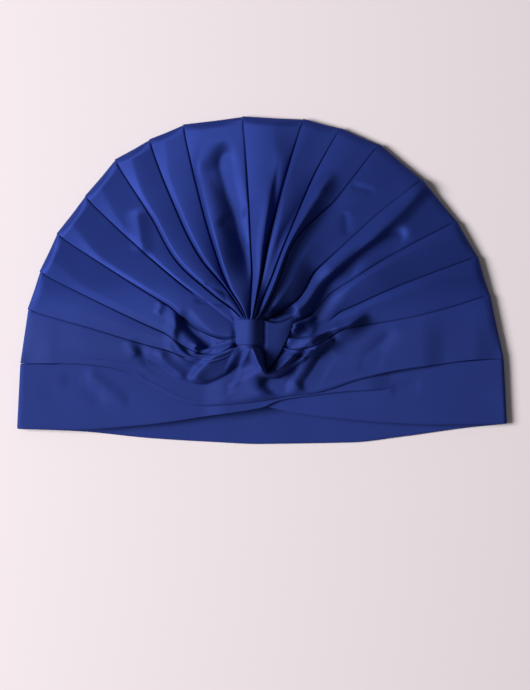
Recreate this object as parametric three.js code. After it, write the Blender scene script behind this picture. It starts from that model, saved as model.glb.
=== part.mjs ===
// A ready-made pleated turban of stretch jersey, lying flat on its back with its gathered front up.
// The crown's front is one cloth: knife pleats run from the rim to a knot, where a short loop of cloth
// holds them together. A plain crown back meets it at the rim, and a folded band goes round the lower
// edge and crosses over itself below the knot. The head goes in between front and back.
// Millimetres. +X runs across the hem, +Y towards the top of the crown and +Z up from the surface that
// it lies on. The origin is on that surface, below the middle of the outline.
import * as THREE from "three";

// Overall sizes
const capWidth = 269;
const capHeight = 180;
const bandHeight = 36; // the band at the folded sides
const hemSag = 9.7; // how far the middle of the back hem hangs below its ends
const hemFlare = 1.8; // the hem is this much wider at each side than the crown's lower edge
const sideRise = 2.8; // the lower edges lie this much higher at the right than at the left

// Cloth, and the room between its layers
const clothWall = 1.1;
const bandWall = 1.5;
const thinnest = 0.8; // the front's cloth in the bottom of a groove
const seamGap = 0.35; // between pieces that meet edge to edge
const lapGap = 0.6; // between pieces that lie on each other
const loopGap = 0.8; // between the loop and the gathered cloth in it
const sideGap = 1.9; // between front and back at the folded sides
const hollowRise = 4.4; // how much more room there is in the middle of the crown
const hemRise = 3.8; // how much more there is in the middle of the hem
const hollowReach = 90; // the distance from the rim in which that room opens
const bandLap = 5; // how far the crown's lower edge lies over the band
const lapFade = 30; // the distance above the band in which the crown comes down again

// Pleats and gathers
const pleatRise = 3; // the table's pleat rises are shares of this height
const pleatTuck = 2.6; // how far one pleat lies under the next
const pleatStep = 0.9; // the folded edge of a pleat stands this high
const pleatJog = 0.7; // step of the outline at each pleat
const foldRise = 3; // the table's fold heights are shares of this height
const foldWidth = 5.2; // the table's fold widths are shares of this width
const foldRound = 0.15; // how round a fold's crest is, as a share of its width
const gatherRise = 6; // the gathered cloth is this much thicker round the knot
const moundRise = 5; // and lies this much higher there
const heapLeft = 52; // the heap of gathered cloth reaches this far left of the knot
const heapRight = 30;
const heapUp = 58;
const heapDown = 19;

// The knot and its loop, from the point where the gathers meet
const knotX = -6.6; // that point, from the middle of the cap
const knotHeight = 62; // and above the middle of the back hem
const hubRadius = 4; // where the gathers end below the loop
const bundleRise = 8; // height of the gathered cloth in the loop
const bundleReach = 12; // the distance from the loop in which it comes down again
const bundleSpread = 0.45; // how much it widens with that distance
const loopTop = 6.2; // upper edge of the loop
const loopBottom = 7.6; // lower edge
const loopLeft = 7.4; // left foot
const loopDip = 7.2; // where the loop dips right of the bundle
const tailTip = 9.6; // the slack side's lowest point is this far right of the knot
const tailDrop = 21; // and this far below it
const tailRight = 24; // right corner of the slack side
const tailSag = 2; // how far its upper edge hangs down between the bundle and that corner
const tailRise = 2.8; // how high it stands open
const loopWall = 1.2;
const calmReach = 7; // the folds are smoothed out this near the loop

const halfWidth = capWidth / 2;
const seamHalfWidth = halfWidth - hemFlare;
const hemSideY = hemSag - (capHeight + sideRise) / 2;
const seamSideY = hemSideY + bandHeight;
const domeHeight = capHeight / 2 - seamSideY - sideRise / 2;
const knotY = knotHeight - capHeight / 2;
const foldRadius = bandWall + sideGap / 2; // of the band's folded sides, and of the rim

// Turns a table's rows into records with the columns' names.
const table = (columns, values) =>
  values.map((row) => Object.fromEntries(columns.map((name, i) => [name, row[i]])));

// Pleats, clockwise from the left. arch is where a pleat starts on the dome, in degrees from the right,
// and bulge the share of the dome's radius that it has there. outer, middle, inner and hub are its
// bearings about the knot at 70%, 40%, 22% and 6% of its length. crest is where the panel after it is
// highest, as a share of the panel's width. The rises are shares of pleatRise, at the rim, half way and
// near the knot, and the tucks shares of pleatTuck, half way and near the knot. end is the share of the
// length, from the knot, at which the pleat's folded edge is smoothed out.
const pleats = table(
  [
    "arch", "bulge", "outer", "middle", "inner", "hub", "crest", "rimRise", "midRise", "nearRise",
    "midTuck", "nearTuck", "end",
  ],
  [
    [167, 0.992, 179, 191, 216, 240, 0.5, 0.3, 0.4, 0.5, 1, 0.5, 0.34],
    [157.7, 0.991, 169, 180, 208, 230, 0.5, 0.5, 0.7, 0.8, 1, 0.6, 0.26],
    [148, 0.998, 156, 162, 180, 206, 0.18, 0.5, 1.3, 1.4, 1, 1, 0.16],
    [137, 0.998, 142.5, 145, 147, 155, 0.4, 0.4, 0.5, 0.5, 0.5, 0, 0.38],
    [126.2, 1.026, 130.5, 136.5, 134, 120, 0.16, 0.5, 1.2, 1.6, 1, 1, 0],
    [117, 1.02, 120.5, 123.5, 118.5, 110, 0.16, 0.5, 1.2, 1.3, 0.8, 0.3, 0],
    [108.5, 1.02, 110, 113, 115, 104, 0.1, 0.4, 1.5, 2, 1, 1, 0],
    [94.5, 1.001, 90.7, 89, 86.5, 87, 0.6, 0.8, 2.5, 3, 1, 1, 0],
    [80, 1, 76.8, 77.7, 77, 77, 0.2, 0.3, 1, 1.8, 1, 0.8, 0],
    [71, 1, 67.5, 67.7, 66.5, 66, 0.45, 0.35, 1.2, 1.6, 0.6, 0.2, 0],
    [61, 1.003, 56.5, 63.3, 58.5, 50, 0.4, 0.3, 1.1, 1.6, 1, 0.8, 0],
    [47.8, 0.988, 42.3, 42, 31.5, 30, 0.14, 0.35, 2.4, 1.6, 1, 1, 0],
    [34.8, 0.981, 28, 25, 12, 10, 0.16, 0.6, 1.3, 1.3, 1, 0.5, 0.3],
    [25, 0.984, 17, 12, -6, -13, 0.2, 0.6, 1.2, 1.2, 0.9, 0.2, 0.42],
    [15.3, 0.977, 5, 1, -20, -33, 0.3, 0.4, 0.6, 0.8, 1, 0.6, 0.28],
  ],
);

// The crown's lower edge: x is a share of the half width, and drop the share of the band's height that
// the edge hangs below the line between its ends.
const lowerEdge = table(
  ["x", "drop"],
  [
    [-1, 0],
    [-0.78, 0.02],
    [-0.65, 0.07],
    [-0.56, 0.15],
    [-0.48, 0.33],
    [-0.4, 0.49],
    [-0.32, 0.62],
    [-0.24, 0.675],
    [-0.12, 0.65],
    [0, 0.605],
    [0.1, 0.54],
    [0.225, 0.49],
    [0.39, 0.31],
    [0.55, 0.175],
    [0.74, 0.08],
    [0.865, 0.025],
    [1, 0],
  ],
);

// The band's hems. x is a share of the half width, rise the share of the band's height that a front hem
// stands above the folded side, and sag the share of hemSag that the back hem hangs below it.
const leftHem = table(
  ["x", "rise"],
  [
    [-1, 0],
    [-0.75, -0.02],
    [-0.46, 0.05],
    [-0.21, 0.175],
    [0, 0.29],
    [0.07, 0.395],
    [0.17, 0.455],
    [0.36, 0.525],
    [0.5, 0.55],
    [0.56, 0.63],
    [0.6, 0.8],
  ],
);
const rightHem = table(
  ["x", "rise"],
  [
    [-0.14, 0.42],
    [0.01, 0.31],
    [0.14, 0.2],
    [0.3, 0.115],
    [0.54, 0.03],
    [0.73, 0],
    [1, 0],
  ],
);
const backHem = table(
  ["x", "sag"],
  [
    [-1, 0],
    [-0.75, 0.17],
    [-0.46, 0.6],
    [-0.21, 0.85],
    [0, 1],
    [0.36, 0.97],
    [0.57, 0.67],
    [0.85, 0.18],
    [1, 0],
  ],
);

// Folds below and beside the knot. path holds x and y, shares of the half width and of the cap's height
// above the back hem. height is a share of foldRise, negative for a groove, and left and right are the
// widths of the fold's two sides, seen walking along it, in shares of foldWidth.
const folds = table(
  ["height", "left", "right", "path"],
  [
    // gathers on the left of the knot
    [
      1.2, 0.8, 1.2,
      [[-0.372, 0.418], [-0.348, 0.369], [-0.36, 0.327], [-0.339, 0.287], [-0.294, 0.262], [-0.196, 0.272]],
    ],
    [-1.8, 1.4, 1.3, [[-0.335, 0.403], [-0.286, 0.354], [-0.225, 0.308], [-0.213, 0.285]]],
    [1.1, 1.8, 0.7, [[-0.417, 0.296], [-0.405, 0.26], [-0.36, 0.226], [-0.29, 0.185]]],
    [-0.8, 1.1, 1.1, [[-0.503, 0.31], [-0.474, 0.266], [-0.417, 0.232], [-0.335, 0.195]]],
    // the cloth that hangs out of the knot over the lower edge
    [1.6, 4, 0.7, [[-0.06, 0.32], [-0.155, 0.287], [-0.229, 0.244], [-0.262, 0.217], [-0.3, 0.175]]],
    [
      -2, 1, 1.1,
      [[-0.5, 0.2], [-0.356, 0.18], [-0.225, 0.169], [-0.131, 0.198], [-0.098, 0.232], [-0.06, 0.31]],
    ],
    [1.5, 0.9, 0.8, [[-0.045, 0.32], [-0.061, 0.272], [-0.086, 0.241], [-0.1, 0.2], [-0.16, 0.16]]],
    [1.3, 1.2, 5, [[-0.02, 0.24], [0.01, 0.195], [0.05, 0.15], [0.09, 0.1]]],
    // the folds round the loop's slack side, and the hollow below them
    [
      1.6, 1.2, 0.9,
      [[-0.05, 0.33], [-0.02, 0.262], [0.024, 0.218], [0.115, 0.262], [0.18, 0.31], [0.222, 0.38]],
    ],
    [
      -2.4, 1.5, 1.5,
      [[-0.016, 0.225], [0.025, 0.183], [0.065, 0.162], [0.115, 0.2], [0.165, 0.26], [0.2, 0.33]],
    ],
    // ridges and hollows on the right of the knot
    [
      2, 2, 1.3,
      [[0.44, 0.42], [0.344, 0.388], [0.221, 0.327], [0.18, 0.272], [0.123, 0.198], [0.065, 0.13]],
    ],
    [-1.1, 1.6, 1.6, [[0.28, 0.3], [0.23, 0.25], [0.19, 0.2], [0.15, 0.165]]],
    [
      -2, 1.8, 1.8,
      [[0.6, 0.66], [0.515, 0.62], [0.389, 0.57], [0.303, 0.498], [0.225, 0.397], [0.195, 0.335]],
    ],
    [-0.5, 1.5, 1.5, [[0.552, 0.354], [0.474, 0.299], [0.438, 0.244], [0.434, 0.217]]],
    // above the knot
    [
      1.8, 3, 1.1,
      [[0.3, 0.83], [0.225, 0.76], [0.172, 0.696], [0.102, 0.601], [0.045, 0.476], [-0.01, 0.375]],
    ],
    [-1.2, 1.2, 1.2, [[0.072, 0.897], [0.041, 0.723], [0.02, 0.629], [0.004, 0.537], [-0.02, 0.43]]],
    [-1.1, 2.6, 1.6, [[-0.21, 0.96], [-0.18, 0.806], [-0.14, 0.653], [-0.1, 0.516], [-0.07, 0.42]]],
    [-0.4, 2.4, 2.4, [[-0.254, 0.867], [-0.147, 0.751], [-0.057, 0.696]]],
  ],
);

const radians = Math.PI / 180;
const clamp01 = (t) => Math.min(1, Math.max(0, t));
const smooth = (t) => clamp01(t) ** 2 * (3 - 2 * clamp01(t));
const mix = (a, b, t) => a + (b - a) * t;
const quarterRound = (t) => Math.sqrt(1 - (1 - clamp01(t)) ** 2);
const range = (count) => [...Array(count).keys()];

// A smooth curve through points of [position, value] in rising order, without overshoot.
function curve(points, at) {
  const last = points.length - 1;
  if (at <= points[0][0]) return points[0][1];
  if (at >= points[last][0]) return points[last][1];
  let i = 0;
  while (points[i + 1][0] < at) i += 1;
  const slope = (k) => (points[k + 1][1] - points[k][1]) / (points[k + 1][0] - points[k][0]);
  const tangent = (k) => {
    const before = slope(Math.max(k - 1, 0));
    const after = slope(Math.min(k, last - 1));
    return before * after > 0 ? (2 * before * after) / (before + after) : 0;
  };
  const width = points[i + 1][0] - points[i][0];
  const t = (at - points[i][0]) / width;
  const ends = mix(points[i][1], points[i + 1][1], smooth(t));
  return ends + width * (tangent(i) * t * (1 - t) ** 2 - tangent(i + 1) * t * t * (1 - t));
}
const edgeCurve = lowerEdge.map((row) => [row.x, row.drop]);
const leftHemCurve = leftHem.map((row) => [row.x, row.rise]);
const rightHemCurve = rightHem.map((row) => [row.x, row.rise]);
const backHemCurve = backHem.map((row) => [row.x, row.sag]);

// Lines across the cap
const tilt = (x) => (sideRise * (x / halfWidth + 1)) / 2;
const seamY = (x) => seamSideY + tilt(x);
const crownEdgeY = (x) => seamY(x) - bandHeight * curve(edgeCurve, x / seamHalfWidth);
const leftHemY = (x) => hemSideY + tilt(x) + bandHeight * curve(leftHemCurve, x / halfWidth);
const rightHemY = (x) => hemSideY + tilt(x) + bandHeight * curve(rightHemCurve, x / halfWidth);
const backHemY = (x) => hemSideY + tilt(x) - hemSag * curve(backHemCurve, x / halfWidth);
const leftEndX = leftHem[leftHem.length - 1].x * halfWidth;
const rightEndX = rightHem[0].x * halfWidth;
const layerRamp = 14; // the distance in which a layer rises over the end of the one below

// The rim's corners on the dome, clockwise: its left end, the pleats and its right end.
const rimCorners = [{ arch: 180, bulge: 1 }, ...pleats, { arch: 0, bulge: 1 }];
const rimPoint = ({ arch, bulge }) => {
  const x = seamHalfWidth * bulge * Math.cos(arch * radians);
  return new THREE.Vector2(x, seamY(x) + domeHeight * bulge * Math.sin(arch * radians));
};

// The share of the dome's radius at which the rim is, in the direction of arch.
function rimBulge(arch) {
  let i = 0;
  while (i < rimCorners.length - 2 && rimCorners[i + 1].arch > arch) i += 1;
  const a = rimCorners[i];
  const b = rimCorners[i + 1];
  const whole = Math.sin((a.arch - b.arch) * radians);
  const near = Math.sin((arch - b.arch) * radians) / a.bulge;
  const far = Math.sin((a.arch - arch) * radians) / b.bulge;
  return whole / (near + far);
}

// Distance inwards from the rim, or from the folded sides below it.
function rimDistance(x, y) {
  const across = x / seamHalfWidth;
  const up = (y - seamY(x)) / domeHeight;
  if (up <= 0) return seamHalfWidth + (hemFlare * (seamY(x) - y)) / bandHeight - Math.abs(x);
  const away = Math.hypot(across, up);
  const steep = Math.hypot(across / seamHalfWidth, up / domeHeight) / Math.max(away, 1e-6);
  return (1 - away / rimBulge(Math.atan2(up, across) / radians)) / steep;
}

// Underside of the front layer that lies on nothing but the room for the head.
function frontFloor(x, y) {
  const open = Math.sin((Math.PI / 2) * clamp01((rimDistance(x, y) - foldRadius) / hollowReach));
  const rise = mix(hollowRise, hemRise, smooth((seamY(x) + 8 - y) / bandHeight));
  return bandWall + sideGap + rise * open;
}

// How many layers of the band lie below the crown's lower edge, rising smoothly.
const sideDistance = (x) => seamHalfWidth - Math.abs(x);
const overRightEnd = (x) => smooth((x - rightEndX + layerRamp) / (layerRamp - 1));
function layersBelow(x) {
  const two = overRightEnd(x) * (1 - smooth((x - leftEndX - 6) / layerRamp));
  return smooth((sideDistance(x) - 3) / 15) + two;
}
const bandTopY = (x) =>
  crownEdgeY(x) - seamGap + (bandLap + seamGap) * smooth((sideDistance(x) - 20) / 16);

// How much of the heap of gathered cloth round the knot there is at a point.
function heap(x, y) {
  const across = (x - knotX) / (x > knotX ? heapRight : heapLeft);
  const up = (y - knotY) / (y > knotY ? heapUp : heapDown);
  return Math.exp(-(across ** 2 + up ** 2));
}

// Underside of the crown's front.
function crownFloor(x, y) {
  const lap = 1 - smooth((y - bandTopY(x) - 2) / lapFade);
  return frontFloor(x, y) + layersBelow(x) * (bandWall + lapGap) * lap + moundRise * heap(x, y);
}

// The loop's outline, and how far a point lies outside it.
const tailShare = (x) => clamp01((x - knotX - loopDip) / (tailRight - loopDip));
const loopTopY = (x) => {
  const tail = tailShare(x);
  return knotY + loopTop + tailRise * 0.5 * tail ** 3 - tailSag * Math.sin(Math.PI * tail);
};
const loopBottomY = (x) => {
  const from = x - knotX;
  const dipped = smooth((from - loopDip + 1) / (tailTip - loopDip + 1));
  if (from < tailTip) return knotY - mix(loopBottom, tailDrop, dipped);
  const up = clamp01((from - tailTip) / (tailRight - tailTip)) ** 1.25;
  return mix(knotY - tailDrop, loopTopY(x) - 1.5, up);
};
function outsideLoop(x, y) {
  const beside = Math.max(knotX - loopLeft - x, x - knotX - tailRight, 0);
  const within = Math.min(knotX + tailRight, Math.max(knotX - loopLeft, x));
  const above = Math.max(y - loopTopY(within), loopBottomY(within) - y, 0);
  return Math.hypot(beside, above);
}
const bundle = (x, away = 0) => {
  const across = clamp01(Math.abs(x - knotX) / (loopDip + 0.6 + bundleSpread * away));
  return bundleRise * Math.cos((Math.PI / 2) * across) ** 0.85 * Math.exp(-((away / bundleReach) ** 2));
};
const aboveLoop = (y) => Math.max(y - knotY - loopTop, knotY - loopBottom - y, 0);
const underLoop = (x, y) => crownFloor(x, y) + clothWall + gatherRise * heap(x, y) + bundle(x);

// Folds as smooth paths, each a list of points with the share of the way along.
const foldPaths = folds.map((fold) => {
  const points = fold.path.map(
    ([x, y]) => new THREE.Vector3(x * halfWidth, y * capHeight - capHeight / 2, 0),
  );
  return { ...fold, points: new THREE.CatmullRomCurve3(points).getPoints(30) };
});

// Height of the folds at a point.
function foldHeight(x, y) {
  let sum = 0;
  for (const { height, left, right, points } of foldPaths) {
    let nearest = Infinity;
    let side = 1;
    let along = 0;
    for (let i = 0; i < points.length - 1; i += 1) {
      const a = points[i];
      const dx = points[i + 1].x - a.x;
      const dy = points[i + 1].y - a.y;
      const t = clamp01(((x - a.x) * dx + (y - a.y) * dy) / (dx * dx + dy * dy));
      const away = Math.hypot(x - a.x - dx * t, y - a.y - dy * t);
      if (away < nearest) {
        nearest = away;
        side = dx * (y - a.y) - dy * (x - a.x);
        along = (i + t) / (points.length - 1);
      }
    }
    const width = foldWidth * (side > 0 ? left : right);
    const ends = smooth(along / 0.2) * smooth((1 - along) / 0.2);
    const out = nearest / width;
    const rise = Math.max(0, 1 + foldRound * (1 - out) - Math.hypot(out, foldRound)) ** 2;
    sum += foldRise * height * ends * rise;
  }
  return sum;
}

// The panels of the crown's front, clockwise: each goes from one line of the cloth to the next.
const lowerCount = 43;
const lowerSteps = range(lowerCount).map((i) => {
  const along = i / (lowerCount - 1);
  return mix(1 - 2 * along, Math.cos(Math.PI * along), 0.7);
});
const bearing = (point) => Math.atan2(point.y - knotY, point.x - knotX) / radians;
const rimLines = rimCorners.map((corner, i) => {
  const point = rimPoint(corner);
  const start = bearing(point) + (i === 0 ? 360 : 0);
  return { ...corner, point, start };
});
const rightHub = -45;
const leftHub = -105;
const lowerLines = lowerSteps.map((share, i) => {
  const x = share * seamHalfWidth;
  const point = new THREE.Vector2(x, crownEdgeY(x));
  return { x, point, start: bearing(point), hub: mix(rightHub, leftHub, i / (lowerSteps.length - 1)) };
});
const rightEnd = lowerLines[0];
const leftEnd = lowerLines[lowerLines.length - 1];

// How far a line has turned about the knot from its start, in degrees, at a share of its length.
function turn(line, share) {
  if (line.outer !== undefined) {
    const { hub, inner, middle, outer, start } = line;
    return curve([[0.06, hub], [0.22, inner], [0.4, middle], [0.7, outer], [1, start]], share) - start;
  }
  const { hub, start } = line.arch === 180 ? leftEnd : line.arch === 0 ? rightEnd : line;
  return (hub - start) * (1 - share) ** 3;
}

const between = (lines, rim) => lines.slice(1).map((to, i) => ({ rim, from: lines[i], to }));
const rimPanels = between(rimLines, true);
const lowerPanels = between(lowerLines, false);

// Where a panel's cloth is, at a share of the way across it and a radius from the knot.
function panelEdge(panel, across) {
  if (!panel.rim) {
    const x = mix(panel.from.x, panel.to.x, across);
    const y = crownEdgeY(x);
    return { start: Math.atan2(y - knotY, x - knotX) / radians, reach: Math.hypot(x - knotX, y - knotY) };
  }
  const chord = panel.from.point.clone().lerp(panel.to.point, across);
  const start = bearing(chord);
  const plain = panel.from.arch === 180 ? across : panel.to.arch === 0 ? 1 - across : 1;
  const jog = panel.from.arch === 180 ? -0.5 * across : mix(0.5, -0.5, across) * plain;
  const reach = Math.hypot(chord.x - knotX, chord.y - knotY) + pleatJog * jog;
  return { start: start < -90 ? start + 360 : start, reach };
}
function panelPoint(panel, across, radius, edge = panelEdge(panel, across)) {
  const share = Math.max(0.06, radius / edge.reach);
  const angle = (edge.start + mix(turn(panel.from, share), turn(panel.to, share), across)) * radians;
  return new THREE.Vector2(knotX + radius * Math.cos(angle), knotY + radius * Math.sin(angle));
}
function panelWidth(panel, radius) {
  return panelPoint(panel, 0, radius).distanceTo(panelPoint(panel, 1, radius));
}

// Where a panel is highest, as a share of its width: towards the rim that place moves to its middle.
const crestPlace = (pleat, share) => mix(pleat.crest ?? 0.5, 0.45, 0.75 * smooth((share - 0.75) / 0.25));

// Height of a pleat's crest above the cloth below it.
function crestHeight(pleat, share) {
  if (pleat.rimRise === undefined) return pleatRise * 0.3;
  const { rimRise, midRise, nearRise } = pleat;
  return pleatRise * curve([[0.08, nearRise * 0.8], [0.22, nearRise], [0.5, midRise], [1, rimRise]], share);
}
const pleatEdge = (pleat, share) =>
  Math.min(pleatStep, crestHeight(pleat, share) * 0.9) * smooth((share - pleat.end) / 0.1 + 1);
function pleatProfile(pleat, across, share) {
  const crest = crestPlace(pleat, share);
  const high = crestHeight(pleat, share);
  const low = pleat.crest === undefined ? 0 : pleatEdge(pleat, share);
  const rising = across / crest;
  if (rising < 1) return mix(low, high, rising * (1.5 - 0.5 * rising));
  return high * (1 - ((across - crest) / (1 - crest)) ** 1.4);
}

// The crown's front is laid out on columns, which run from the rim to the knot. At each pleat three of
// them make the tuck: its bottom, the underside of the folded edge and the edge's top.
const columns = [];
rimPanels.forEach((panel, i) => {
  if (i > 0) {
    columns.push({ panel, across: 0, part: "tuck" }, { panel, across: 0, part: "nose" });
    columns.push({ panel, across: 0, part: "edge" });
  } else columns.push({ panel, across: 0, part: "panel" });
  const crest = panel.from.crest ?? 0.5;
  const steps = [crest * 0.5, crest, mix(crest, 1, 0.45), mix(crest, 1, 0.82)];
  for (const across of steps) columns.push({ panel, across, part: "panel" });
});
for (const panel of lowerPanels) columns.push({ panel, across: 0, part: "panel" });

const rimRows = [0, 0.35, 1.1, foldRadius];
const inwardRows = [0.04, 0.1, 0.17, 0.25, 0.34, 0.43, 0.52, 0.61, 0.69, 0.76, 0.82, 0.88, 0.93, 0.97, 1];
const radiusAt = (row, reach) =>
  row < rimRows.length
    ? reach - rimRows[row]
    : mix(reach - foldRadius, hubRadius, inwardRows[row - rimRows.length]);
const rowCount = rimRows.length + inwardRows.length;
const lip = foldRadius + seamGap / 2;

// A point on the upper side of the crown's front.
function crownTop({ panel, across, part }, row) {
  const edge = panelEdge(panel, across);
  const radius = radiusAt(row, edge.reach);
  const share = radius / edge.reach;
  const inward = edge.reach - radius;
  let place = across;
  let lift = 0;
  if (panel.rim) {
    const pleat = panel.from;
    const free = smooth(inward / 4);
    lift = pleatProfile(pleat, across, share) * free;
    if (part !== "panel") {
      const width = panelWidth(panel, radius);
      const { nearTuck, midTuck } = pleat;
      const under = curve([[0.1, nearTuck], [0.25, nearTuck], [0.6, midTuck], [1, 1]], share);
      const tuck = Math.min(pleatTuck * under, width * 0.35);
      const step = pleatEdge(pleat, share) * free;
      const spread = Math.min(0.35, width * 0.06);
      if (part === "tuck") place = mix(-spread, Math.max(tuck, -spread), smooth(inward / 8)) / width;
      if (part === "edge") place = spread / width;
      lift = { tuck: 0, nose: step * 0.5, edge: step }[part];
    }
  }
  const { x, y } = panelPoint(panel, place, radius, place === across ? edge : panelEdge(panel, place));
  const calm = smooth((outsideLoop(x, y) - calmReach) / 4);
  const inner = smooth(inward / 20);
  const folds = foldHeight(x, y) * (panel.rim ? 1 : smooth((inward + 0.5) / 5));
  const gathered = gatherRise * heap(x, y) * inner + bundle(x, aboveLoop(y));
  const free = crownFloor(x, y) + Math.max(clothWall + gathered + lift + folds, thinnest);
  const top = mix(underLoop(x, y) + lift * 0.06, free, calm);
  if (row === 0 && panel.rim) return new THREE.Vector3(x, y, lip);
  const away = panel.rim ? Math.min(inward, rimDistance(x, y) + 0.5) : rimDistance(x, y);
  const round = quarterRound(away / foldRadius);
  const thin = panel.rim ? 0 : 0.45 * (1 - quarterRound((inward + 0.2) / 1.2));
  return new THREE.Vector3(x, y, mix(lip, top - thin, round));
}

// A point on its underside.
const insideRows = [0, 2, 3, 6, 9, 12, 15, 18];
function crownUnder({ panel, across }, row) {
  const edge = panelEdge(panel, across);
  const corner = !panel.rim && Math.abs(panel.from.x) > seamHalfWidth - 0.5;
  const inset = panel.rim || corner ? clothWall : 0;
  const radius = Math.min(edge.reach - inset, radiusAt(insideRows[row], edge.reach - inset));
  const { x, y } = panelPoint(panel, across, radius, { ...edge });
  if (row === 0 && inset > 0) return new THREE.Vector3(x, y, lip);
  const far = panel.rim ? edge.reach - inset - radius : rimDistance(x, y) - clothWall;
  return new THREE.Vector3(x, y, mix(lip, crownFloor(x, y), quarterRound(far / (foldRadius - clothWall))));
}

// A closed skin over a row of rings. Each ring is a list of points with a rising place round the ring,
// and the first and the last ring are closed by a fan.
function skin(rings) {
  const vertices = [];
  const faces = [];
  const starts = rings.map((ring) => {
    const start = vertices.length;
    ring.forEach(({ point }) => vertices.push(point));
    return start;
  });
  for (let k = 0; k < rings.length - 1; k += 1) {
    const a = rings[k];
    const b = rings[k + 1];
    let i = 0;
    let j = 0;
    while (i < a.length || j < b.length) {
      const nextA = i + 1 < a.length ? a[i + 1].place : i < a.length ? Infinity : 2e9;
      const nextB = j + 1 < b.length ? b[j + 1].place : j < b.length ? Infinity : 2e9;
      const hereA = starts[k] + (i % a.length);
      const hereB = starts[k + 1] + (j % b.length);
      const moveA = i < a.length && (j >= b.length || nextA <= nextB);
      if (moveA) {
        faces.push([hereA, starts[k] + ((i + 1) % a.length), hereB]);
        i += 1;
      } else {
        faces.push([hereA, starts[k + 1] + ((j + 1) % b.length), hereB]);
        j += 1;
      }
    }
  }
  for (const end of [0, rings.length - 1]) {
    const ring = rings[end];
    const middle = new THREE.Vector3();
    ring.forEach(({ point }) => middle.addScaledVector(point, 1 / ring.length));
    const centre = vertices.push(middle) - 1;
    ring.forEach((_, i) => {
      const here = starts[end] + i;
      const next = starts[end] + ((i + 1) % ring.length);
      faces.push(end === 0 ? [centre, next, here] : [here, next, centre]);
    });
  }
  let volume = 0;
  for (const [a, b, c] of faces)
    volume += vertices[a].dot(new THREE.Vector3().crossVectors(vertices[b], vertices[c]));
  const geometry = new THREE.BufferGeometry();
  geometry.setFromPoints(vertices);
  geometry.setIndex(faces.flatMap(([a, b, c]) => (volume < 0 ? [a, c, b] : [a, b, c])));
  return geometry;
}

// The crown's front: from the knot outwards on top, and back to the knot below.
const placeOf = (list) => list.map((column, i) => ({ ...column, place: i }));
const outside = placeOf(columns);
const inside = outside.filter(({ panel, across, part }) => {
  if (!panel.rim || across === (panel.from.crest ?? 0.5)) return true;
  return across === 0 && part !== "tuck" && part !== "edge";
});
const topRings = range(rowCount)
  .reverse()
  .map((row) => outside.map((column) => ({ place: column.place, point: crownTop(column, row) })));
const underRings = insideRows.map((_, row) =>
  inside.map((column) => ({ place: column.place, point: crownUnder(column, row) })),
);
const crownFrontShape = skin([...topRings, ...underRings]);

// The crown's back: plain cloth, flat on the surface, from the middle out and back.
const backLines = [
  ...rimPanels.flatMap(({ from, to }) => [0, 0.5].map((across) => from.point.clone().lerp(to.point, across))),
  ...[1, 0.975, 0.9, 0.6, 0.3, 0, -0.3, -0.6, -0.9, -0.975, -1]
    .slice(0, -1)
    .map((share) => new THREE.Vector2(share * seamHalfWidth, seamY(share * seamHalfWidth))),
];
const backLip = foldRadius - seamGap / 2;
function backPoint(point, i, inward, under) {
  const onRim = i <= rimPanels.length * 2;
  const middle = new THREE.Vector2(0, seamY(0) + domeHeight * 0.3);
  const inset = under || !onRim ? 0 : clothWall;
  const place = point.clone().lerp(middle, Math.min(1, (inward + inset) / point.distanceTo(middle)));
  const away = onRim ? inward : rimDistance(place.x, place.y) - (under ? 0 : clothWall);
  const bend = quarterRound(away / (under ? foldRadius : foldRadius - clothWall));
  return new THREE.Vector3(place.x, place.y, mix(backLip, under ? 0 : clothWall, bend));
}
const backRows = [40, 12, 6, foldRadius, 1.3, 0.45, 0];
const backRing = (inward, under) =>
  backLines.map((point, i) => ({ place: i, point: backPoint(point, i, inward, under) }));
const crownBackShape = skin([
  ...backRows.map((inward) => backRing(inward, true)),
  ...[0, 0.5, foldRadius - clothWall, 6, 12, 40].map((inward) => backRing(inward, false)),
]);

// The band: one strip from its left front end round the left side, across the back, round the right side
// and to its right front end. A section runs from the hem, at 0, to the top edge, at 1.
const sectionShares = [0.015, 0.2, 0.45, 0.7, 0.985];
const flare = (share) => 1 + (hemFlare / seamHalfWidth) * (1 - share);
const steps = (from, to, count) => range(count).map((i) => mix(from, to, i / (count - 1)));
const sideX = 1 - foldRadius / seamHalfWidth;
const bandColumns = [
  ...steps(leftEndX / seamHalfWidth, -0.75, 30).map((x) => ({ kind: "left", x })),
  ...[-0.81, -0.86, -0.9, -0.93, -0.955, -sideX].map((x) => ({ kind: "left", x })),
  ...[120, 150, 180, 210, 240].map((angle) => ({ kind: "fold", x: -1, angle })),
  ...steps(-sideX, sideX, 25).map((x) => ({ kind: "back", x })),
  ...[300, 330, 360, 390, 420].map((angle) => ({ kind: "fold", x: 1, angle })),
  ...[sideX, 0.955, 0.93, 0.9, 0.86, 0.81].map((x) => ({ kind: "right", x })),
  ...steps(0.75, rightEndX / seamHalfWidth, 16).map((x) => ({ kind: "right", x })),
];
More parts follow.
